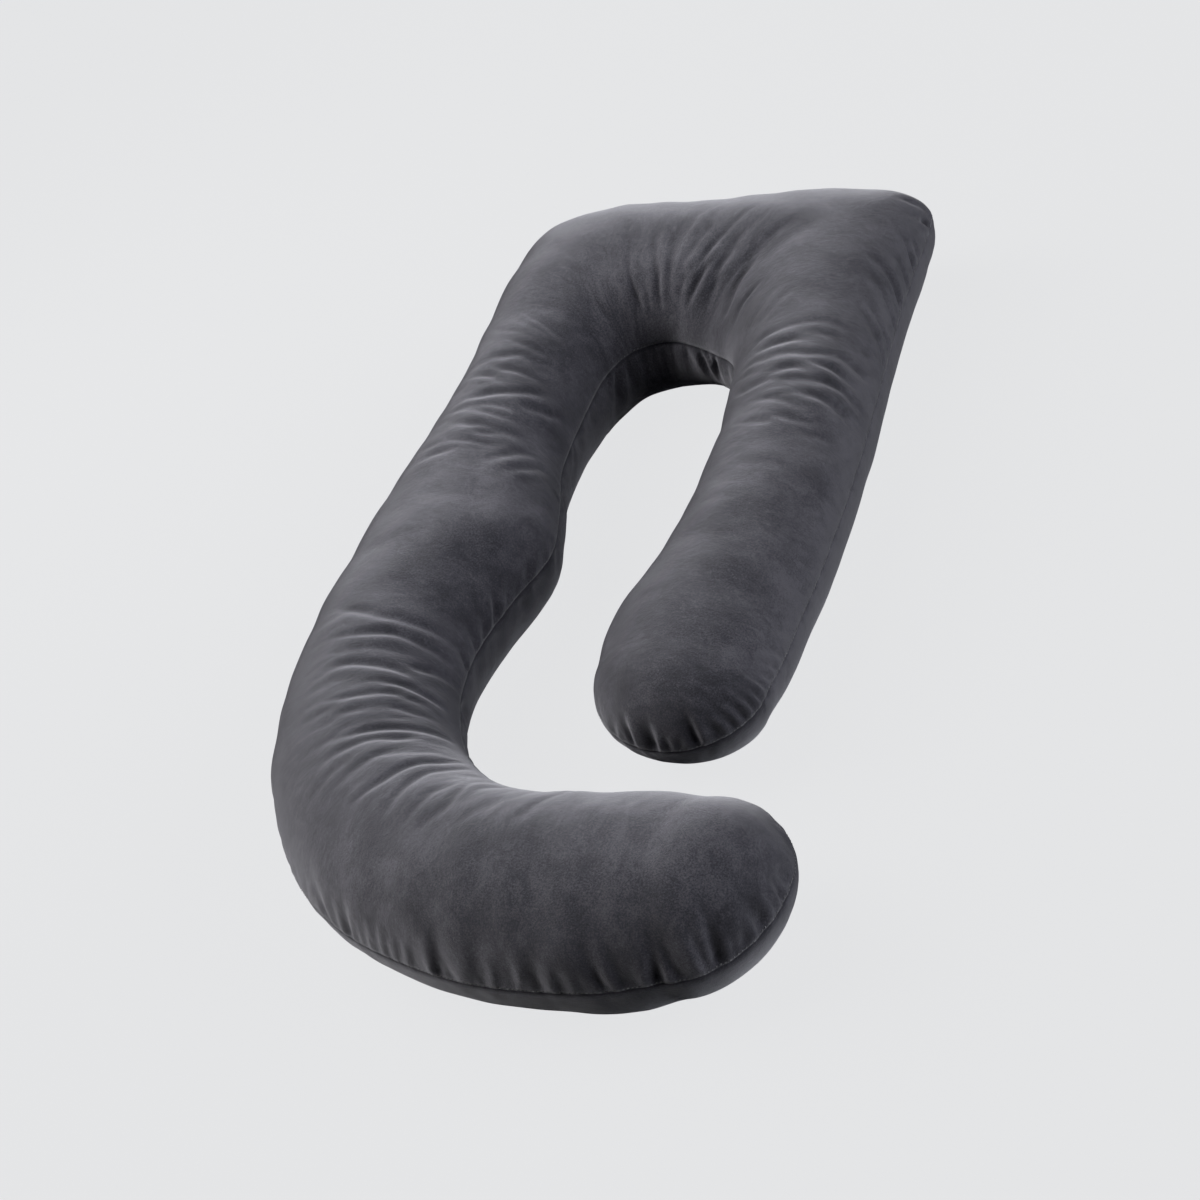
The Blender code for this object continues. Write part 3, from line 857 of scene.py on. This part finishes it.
def lightness_with_painted_light():
    """Half, plus painted light where the folds turn the surface towards the painted light's
    heading and painted shade where they turn it away, less painted shade where they sink it,
    less the seam's shade, softly limited to PILE_SWING either way; plus, on the face, each
    listed place's amount, stroked pile and painted light and shade, times the square of the
    nearness to it; plus painted light on the outer sides, its share times the square of how
    far the surface faces sideways."""
    turned = (outward(cover_points) - normals) @ PAINTED_LIGHT_HEADING
    # painted shade in the hollows of the folds
    sunk = np.minimum(crease_relief + pucker_relief, 0.0) / HOLLOW_DEPTH
    seam_shade = SEAM_SHADE * np.exp(-(from_seam / SEAM_SHADE_WIDTH) ** 2)
    # painted light on the outer, upright sides
    outer_side = (np.arange(len(edge)) < len(outer))[:, None] * normals[..., 0] ** 2
    # painted light and shade of the folds, and the seam's shade
    painted_fold_light = PILE_SWING * np.tanh(WALL_GAIN * turned + HOLLOW_SHADE_GAIN * sunk - seam_shade)
    plan = cover_points[..., :2]
    # stroked pile together with painted light and shade at the listed places
    brushing_and_painted_light = sum(spot.amount * nearness(plan, spot) ** 2 for spot in BRUSHING_AND_PAINTED_LIGHT) * on_face
    return 0.5 + painted_fold_light + brushing_and_painted_light + SIDE_PAINTED_LIGHT * softened(outer_side, SIDE_SOFTENING)


# the pile value holds the painted light and shade, the stroked pile and the seam's shade
pile = lightness_with_painted_light()
print("pile lightness from", round(float(pile.min()), 2), "to", round(float(pile.max()), 2))

# %% [markdown]
# A second value says where each point lies in the tube. The nap's noise is read there, so its
# streaks follow the bends as the panels' cloth does.

# %% Where every point lies in the tube
def place_in_tube():
    """Where a point lies in the tube: along it, as the way down the middle line to its section
    plus how far the point stands ahead of that section; across it; and its height."""
    forward = unit_rows(np.gradient(middle, axis=0))
    way = np.concatenate([[0.0], np.cumsum(np.linalg.norm(np.diff(middle, axis=0), axis=1))])
    ahead, sideways = forward[station], forward[station][:, ::-1] * (-1, 1)
    offset = cover_points[..., :2] - spine[:, None]
    along = way[station][:, None] + (offset * ahead[:, None]).sum(axis=2)
    across = (offset * sideways[:, None]).sum(axis=2)
    return np.stack([along, across, cover_points[..., 2]], axis=2)


tube_place = place_in_tube()
print("tube", round(float(np.ptp(tube_place[..., 0])), 2), "m long")

# %% [markdown]
# ## One closed mesh
# The crest and the bottom line belong to both sides of the tube, so each is one row of points.
# Round the ends all the half cross-sections meet in one crest point, and the last faces there
# are triangles.

# %% The cover's mesh
def smooth_mesh(name, points, faces):
    """A mesh of the points and faces, shaded as one smooth surface."""
    mesh = bpy.data.meshes.new(name)
    mesh.from_pydata(points.tolist(), [], faces)
    mesh.validate()
    mesh.shade_smooth()
    return mesh


def shared_row(values, column):
    """Mean of the two sides' values on a shared line, one for each station."""
    total = np.zeros((last + 1,) + values.shape[2:])
    np.add.at(total, station, values[:, column])
    return (total.T / np.bincount(station)).T


def cover_values(values):
    """Values of the grid in the order of the mesh's points."""
    inside = values[:, 1:-1].reshape((-1,) + values.shape[2:])
    return np.concatenate([inside, shared_row(values, 0), shared_row(values, -1)])


def cover_mesh(name):
    """The grid's inner columns, then the bottom row and the crest row; quads between
    columns, and quads or triangles to the two shared rows."""
    places, columns = cover_points.shape[:2]
    inside = columns - 2
    grid = np.arange(places * inside).reshape(places, inside)
    bottom = places * inside + station
    crest = bottom + last + 1
    number = np.column_stack([bottom, grid, crest])
    after = np.roll(number, -1, axis=0)
    quads = np.stack([number[:, :-1], after[:, :-1], after[:, 1:], number[:, 1:]], axis=2)
    quads = quads.reshape(-1, 4)
    low_pole = quads[:, 0] == quads[:, 1]
    high_pole = quads[:, 2] == quads[:, 3]
    triangles = np.vstack([quads[low_pole][:, [0, 2, 3]], quads[high_pole][:, :3]])
    quads = quads[~(low_pole | high_pole)]
    mesh = smooth_mesh(name, cover_values(cover_points), quads.tolist() + triangles.tolist())
    # the pile value carries painted light and shade into the material
    for label, kind, field, values in (
            ("pile", "FLOAT", "value", pile), ("in_tube", "FLOAT_VECTOR", "vector", tube_place)):
        attribute = mesh.attributes.new(label, kind, "POINT")
        attribute.data.foreach_set(field, cover_values(values).astype(np.float32).ravel())
    return mesh


def new_piece(name, mesh, material):
    """A piece of the pillow, with its mesh and its material."""
    piece = in_scene(name, mesh)
    mesh.materials.append(material)
    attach(piece, "root")
    mesh.calc_loop_triangles()
    print(name, "has", len(mesh.loop_triangles), "triangles")
    return piece


velvet_mesh = cover_mesh("velvet_cover")
print(len(velvet_mesh.vertices), "points on the cover")

# %% [markdown]
# ## Velvet
# A material is a small net of nodes. In the shader editor each is added, set and wired by
# hand; here one function does it, and a few short ones name the sums that the nodes make.

# %% Nodes, set and linked
Noise = namedtuple("Noise", "scale detail roughness stretched swirl", defaults=((1, 1, 1), 0.0))


def new_material(name):
    """A new material, its tree of nodes and its shader."""
    material = bpy.data.materials.new(name)
    material.use_nodes = True
    return material, material.node_tree, material.node_tree.nodes["Principled BSDF"]


def set_inputs(tree, node, inputs):
    """Each input named takes the value given for it, or a link from the output given."""
    for name, value in inputs.items():
        if isinstance(value, bpy.types.NodeSocket):
            tree.links.new(value, node.inputs[name])
        else:
            node.inputs[name].default_value = value


def new_node(tree, kind, output, inputs=(), **settings):
    """One output of a new node with its settings and inputs."""
    node = tree.nodes.new(kind)
    for name, value in settings.items():
        setattr(node, name, value)
    set_inputs(tree, node, dict(inputs))
    return node.outputs[output]


def noise(tree, place, look):
    """Noise on the given coordinates, longer where they are scaled down, and swirled."""
    scaled = {"Vector": place, "Scale": look.stretched}
    return new_node(tree, "ShaderNodeTexNoise", "Fac", {
        "Vector": new_node(tree, "ShaderNodeMapping", "Vector", scaled),
        "Scale": look.scale, "Detail": look.detail,
        "Roughness": look.roughness, "Distortion": look.swirl})


def mixed(tree, first, second, share):
    """first * (1 - share) + second * share."""
    return new_node(tree, "ShaderNodeMix", "Result", {"Factor": share, "A": first, "B": second})


def swayed(tree, value, by, gain):
    """value + gain * (by - 1/2)."""
    centred = new_node(tree, "ShaderNodeMath", 0, {0: by, 1: 0.5}, operation="SUBTRACT")
    return new_node(
        tree, "ShaderNodeMath", 0, {0: centred, 1: gain, 2: value}, operation="MULTIPLY_ADD")


def colour_ramp(tree, value, low, dark, high, light):
    """dark below the low value, light above the high one, and a blend between."""
    colour = new_node(tree, "ShaderNodeValToRGB", "Color", {"Fac": value})
    ends = colour.node.color_ramp.elements
    ends[0].position, ends[0].color = low, dark
    ends[1].position, ends[1].color = high, light
    return colour


def bump(tree, height, strength, depth):
    """A bump from a height, of the given strength and real depth."""
    return new_node(tree, "ShaderNodeBump", "Normal", {
        "Height": height, "Strength": strength, "Distance": depth})


# %% [markdown]
# Velvet is a short, dense pile. Seen from the side its fibres catch the light, so the
# shader has sheen; stroked one way or the other it turns lighter or darker in soft, long
# patches; and close up it is a streaky grain. The colour comes from the pile's lightness, with
# its painted light and shade, swayed by patches and streaks along the tube and by grain on the
# object's own coordinates, so nothing slides when the camera moves. A fine ripple and the weave
# give it a bump.

# %% The velvet material
# The ramp's dark end is painted shade for the hollows and the seam, its light end painted light
# for the fold walls and outer sides; both ends also take the nap's patches, streaks and grain.
PAINTED_SHADE_AND_DARK_NAP = (0.015, 0.0145, 0.022, 1.0)
VELVET_GREY = (0.0505, 0.0490, 0.0645, 1.0)
PAINTED_LIGHT_AND_LIGHT_NAP = (0.130, 0.126, 0.150, 1.0)
DARKEST, LIGHTEST = 0.14, 0.86  # pile lightness at the two end colours
PATCHES = Noise(12.0, 2.5, 0.55, (1.0, 0.75, 0.75), 1.0)
STREAKS = Noise(45.0, 2.5, 0.55, (1.0, 0.60, 0.60), 1.5)
GRAIN = Noise(480.0, 2.0, 0.8)
PATCH_GAIN, STREAK_GAIN, GRAIN_GAIN = 0.75, 0.65, 1.30
RIPPLE = Noise(150.0, 3.0, 0.6, (1.0, 0.5, 0.5))
WEAVE = Noise(800.0, 2.0, 0.7)
NAP_STRENGTH, NAP_DEPTH = 0.8, 0.0015


def velvet_material():
    """Dark grey velvet: the pile's lightness with its painted light and shade, patches, streaks,
    grain, sheen and a bump.
    """
    material, tree, shader = new_material("dark_grey_velvet")
    place = new_node(tree, "ShaderNodeTexCoord", "Object")
    tube = new_node(tree, "ShaderNodeAttribute", "Vector", attribute_name="in_tube")
    # the pile value holds painted light and shade from the folds and the outer sides
    lightness = new_node(tree, "ShaderNodeAttribute", "Fac", attribute_name="pile")
    for where, look, gain in (
            (tube, PATCHES, PATCH_GAIN), (tube, STREAKS, STREAK_GAIN), (place, GRAIN, GRAIN_GAIN)):
        lightness = swayed(tree, lightness, noise(tree, where, look), gain)
    colour = colour_ramp(tree, lightness, DARKEST, PAINTED_SHADE_AND_DARK_NAP, LIGHTEST, PAINTED_LIGHT_AND_LIGHT_NAP)
    colour.node.color_ramp.elements.new(0.5).color = VELVET_GREY
    weave = noise(tree, place, WEAVE)
    height = mixed(tree, noise(tree, tube, RIPPLE), weave, 0.5)
    set_inputs(tree, shader, {
        "Base Color": colour, "Roughness": 0.80, "Specular IOR Level": 0.25,
        "Sheen Weight": 1.0, "Sheen Roughness": 0.50, "Sheen Tint": (0.93, 0.925, 1.0, 1.0),
        "Normal": bump(tree, height, NAP_STRENGTH, NAP_DEPTH)})
    return material


cover = new_piece("velvet_cover", velvet_mesh, velvet_material())
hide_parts("filled_cover")

# %% [markdown]
# ## Stitches
# A line of small, tight stitches follows the face panel's edge. Each is a short thread, so it
# is made as one: a bent tube of four sides that lies along the seam, a little slanted. One
# whole-array sum makes them all, evenly spaced round the sewn edge.

# %% Stitches along the seam
STITCH_PITCH = 0.0054
STITCH_LENGTH = 0.0029
STITCH_RADIUS = 0.00060
STITCH_RISE = 0.0005  # how far the thread's middle bows out
STITCH_SLANT = 0.40
ALONG_THREAD = np.array([-1.0, -0.45, 0.45, 1.0])
TAPER = np.array([0.55, 1.0, 1.0, 0.55])
RINGS = len(ALONG_THREAD)
SIDES = 4
THREAD_DARK, THREAD_LIGHT = (0.11, 0.11, 0.12, 1.0), (0.38, 0.38, 0.40, 1.0)
DARK_BELOW, LIGHT_ABOVE = 0.38, 0.62
TWIST_STRENGTH, TWIST_DEPTH = 0.5, 0.0002
STRANDS = Noise(1500.0, 2.0, 0.6)
WEAR = Noise(28.0, 3.0, 0.6)


def stitch_mesh(name):
    """Each thread runs along the face panel's edge and a little across it, bowed out by one
    minus the square of the way from its middle, with four corners round it at every ring."""
    number = round(seam_length / STITCH_PITCH)
    places = np.arange(number) * seam_length / number
    index = np.searchsorted(travelled, places, side="right") - 1
    share = ((places - travelled[index]) / edge_steps[index])[:, None]
    after = (index + 1) % len(edge)
    below, seam, above = (cover_points[:, seam_ring + step] for step in (1, 2, 3))
    centre = seam[index] * (1 - share) + seam[after] * share
    along = unit_rows(seam[after] - seam[index])
    across = unit_rows((above - below)[index])
    out = unit_rows(np.cross(along, across))
    thread = unit_rows(along + STITCH_SLANT * across)
    beside = np.cross(thread, out)
    way = (ALONG_THREAD * STITCH_LENGTH / 2)[:, None]
    bow = (STITCH_RISE * (1 - ALONG_THREAD ** 2))[:, None]
    radius = (STITCH_RADIUS * TAPER)[:, None]
    rings = centre[:, None] + thread[:, None] * way + out[:, None] * bow
    corners = np.stack(
        [rings + radius * side[:, None] for side in (out, beside, -out, -beside)], axis=2)
    grid = np.arange(number * RINGS * SIDES).reshape(number, RINGS, SIDES)
    turned = np.roll(grid, -1, axis=2)
    walls = np.stack([grid[:, :-1], turned[:, :-1], turned[:, 1:], grid[:, 1:]], axis=-1)
    walls = walls.reshape(-1, 4)
    caps = np.vstack([grid[:, 0, ::-1], grid[:, -1]])
    return smooth_mesh(name, corners.reshape(-1, 3), np.vstack([walls, caps]).tolist())


def thread_material():
    """Grey sewing thread: a twist of lighter and darker strands with a fine bump."""
    material, tree, shader = new_material("grey_thread")
    place = new_node(tree, "ShaderNodeTexCoord", "Object")
    strands = noise(tree, place, STRANDS)
    tone = mixed(tree, strands, noise(tree, place, WEAR), 0.5)
    set_inputs(tree, shader, {
        "Base Color": colour_ramp(tree, tone, DARK_BELOW, THREAD_DARK, LIGHT_ABOVE, THREAD_LIGHT),
        "Roughness": 0.65, "Normal": bump(tree, strands, TWIST_STRENGTH, TWIST_DEPTH)})
    return material


new_piece("seam_stitches", stitch_mesh("seam_stitches"), thread_material())

# %% [markdown]
# ## Floor and light
# The floor is a plain pale sheet that glows of itself, as a lit studio sweep does, so the
# shadows on it stay faint. The room behind has the same tone and lights nothing. Three far,
# broad lights shape the tube: one from above and the left, a low one from the left for the
# rims, and a low, cooler one from the right. A near lamp at the upper left is stronger on the
# head end and the long arm.

# %% Floor and light
FLOOR_HALF = 30.0
FLOOR_GREY = (0.05, 0.05, 0.05, 1.0)
FLOOR_GLOW = (0.747, 0.753, 0.764, 1.0)
ROOM_TONE = (0.776, 0.783, 0.793, 1.0)  # the floor's glow and the light that it returns
SUN_WIDTH = math.radians(50)
Sun = namedtuple("Sun", "name comes_from strength colour")
SUNS = (
    Sun("top_light", (-0.60, 0.04, 0.80), 1.00, (1.0, 0.99, 0.97)),
    Sun("left_light", (-0.95, -0.02, 0.34), 1.38, (1.0, 0.99, 0.98)),
    Sun("right_light", (0.92, 0.20, 0.28), 1.88, (0.95, 0.97, 1.0)),
)
LAMP_PLACE = Vector((-1.5, 0.6, 1.2))
LAMP_AIM = Vector((0.0, 0.2, 0.1))
LAMP_WIDTH = 0.9
LAMP_WATTS = 8.0

corners = FLOOR_HALF * np.array([(-1, -1, 0), (1, -1, 0), (1, 1, 0), (-1, 1, 0)])
floor_mesh = smooth_mesh("floor", corners, [(0, 1, 2, 3)])
floor = in_scene("floor", floor_mesh)
floor_material, floor_tree, floor_shader = new_material("pale_floor")
set_inputs(floor_tree, floor_shader, {
    "Base Color": FLOOR_GREY, "Roughness": 0.95, "Specular IOR Level": 0.0,
    "Emission Color": FLOOR_GLOW, "Emission Strength": 1.0})
floor_mesh.materials.append(floor_material)
floor.visible_diffuse = False
floor.visible_glossy = False


def light(name, kind, comes_from):
    """A light of its kind, turned so that it shines from the direction given."""
    lamp = in_scene(name, bpy.data.lights.new(name, kind))
    lamp.rotation_euler = Vector(comes_from).to_track_quat("Z", "Y").to_euler()
    return lamp


for sun in SUNS:
    far_light = light(sun.name, "SUN", sun.comes_from)
    far_light.data.energy = sun.strength
    far_light.data.angle = SUN_WIDTH
    far_light.data.color = sun.colour
near_lamp = light("near_lamp", "AREA", LAMP_PLACE - LAMP_AIM)
near_lamp.location = LAMP_PLACE
near_lamp.data.shape = "DISK"
near_lamp.data.size = LAMP_WIDTH
near_lamp.data.energy = LAMP_WATTS

world = bpy.data.worlds.new("pale_room")
world.use_nodes = True
background = world.node_tree.nodes["Background"]
set_inputs(world.node_tree, background, {"Color": ROOM_TONE, "Strength": 1.0})
bpy.context.scene.world = world
world.cycles_visibility.diffuse = False
world.cycles_visibility.glossy = False
bpy.context.scene.view_settings.view_transform = "Standard"
